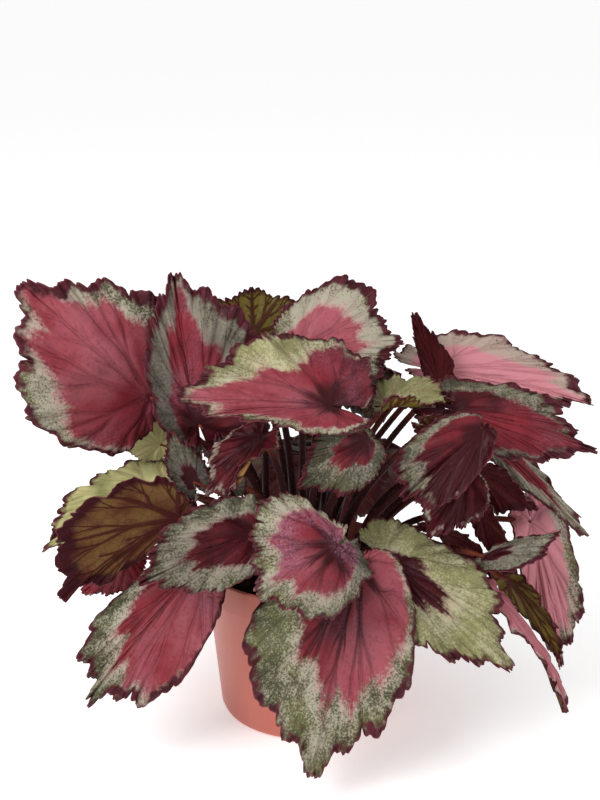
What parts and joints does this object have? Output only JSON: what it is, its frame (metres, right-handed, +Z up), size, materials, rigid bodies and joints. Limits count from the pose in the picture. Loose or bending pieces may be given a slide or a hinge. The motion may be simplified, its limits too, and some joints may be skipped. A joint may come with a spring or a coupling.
{
  "type": "potted rex begonia",
  "caption": "Bushy house plant of toothed, lobed, patterned leaves on arching hairy stalks in a plain round nursery pot filled with soil.",
  "frame": {"origin": "centre of the pot's flat underside", "axes": "+Z up along the pot's axis; the plant's best side looks along -Y, and +X is to the right of someone who looks at that side"},
  "size_m": [0.3328, 0.2791, 0.2889],
  "materials": {
    "pot": "satin moulded plastic, terracotta colour",
    "soil": "matt peat compost with white grains",
    "rhizome": "matt brown scaly stem",
    "leaf_pink": "satin leaf, pink centre, silver band, maroon toothed margin",
    "leaf_silver": "satin leaf, broad silver band speckled with green",
    "leaf_olive": "satin leaf showing its olive underside with dark red veins",
    "leaf_pale": "satin pale yellow-green leaf with a pink rim",
    "leaf_red": "satin red leaf, light shining through it",
    "leaf_wine": "satin dark wine-red leaf"
  },
  "bodies": {
    "root": {"pot": "pot", "soil": "soil", "rhizome": "rhizome", "leaf_front_low": "leaf_pink", "leaf_front_heart": "leaf_silver", "leaf_silver_left": "leaf_silver", "leaf_low_left": "leaf_pink", "leaf_silver_low_right": "leaf_silver", "leaf_folded_left": "leaf_olive", "leaf_pale_left": "leaf_pale", "leaf_amber_fold": "leaf_red", "leaf_dull_middle": "leaf_wine", "leaf_wine_right": "leaf_wine", "leaf_wine_under": "leaf_wine", "leaf_crown_front": "leaf_pink", "leaf_upper_left": "leaf_pink", "leaf_pink_upright": "leaf_pink", "leaf_olive_top": "leaf_olive", "leaf_silver_top": "leaf_silver", "leaf_olive_fold": "leaf_olive", "leaf_upper_right": "leaf_pink", "leaf_red_sail": "leaf_red", "leaf_right_main": "leaf_pink", "leaf_right_fold": "leaf_red", "leaf_right_edge": "leaf_pink", "leaf_under_right": "leaf_wine", "leaf_far_right_low": "leaf_pink", "leaf_strap_high": "leaf_red", "leaf_strap_low": "leaf_wine", "leaf_dark_sliver": "leaf_wine", "leaf_olive_low": "leaf_olive", "leaf_pink_sliver": "leaf_pink", "leaf_pale_small": "leaf_pale", "leaf_pink_tuck": "leaf_pink", "leaf_young_left": "leaf_wine", "leaf_young_right": "leaf_wine", "leaf_red_scrap": "leaf_red", "leaf_back_left": "leaf_silver", "leaf_back_left_low": "leaf_pink", "leaf_back_middle_left": "leaf_pink", "leaf_back_middle": "leaf_silver", "leaf_back_right": "leaf_pink", "leaf_back_right_low": "leaf_silver", "leaf_back_low_left": "leaf_wine", "leaf_back_low_right": "leaf_pink", "leaf_back_low_middle": "leaf_wine", "leaf_crown_back_left": "leaf_pink", "leaf_crown_back_right": "leaf_silver", "leaf_back_high_middle": "leaf_pink"}
  },
  "joints": []
}
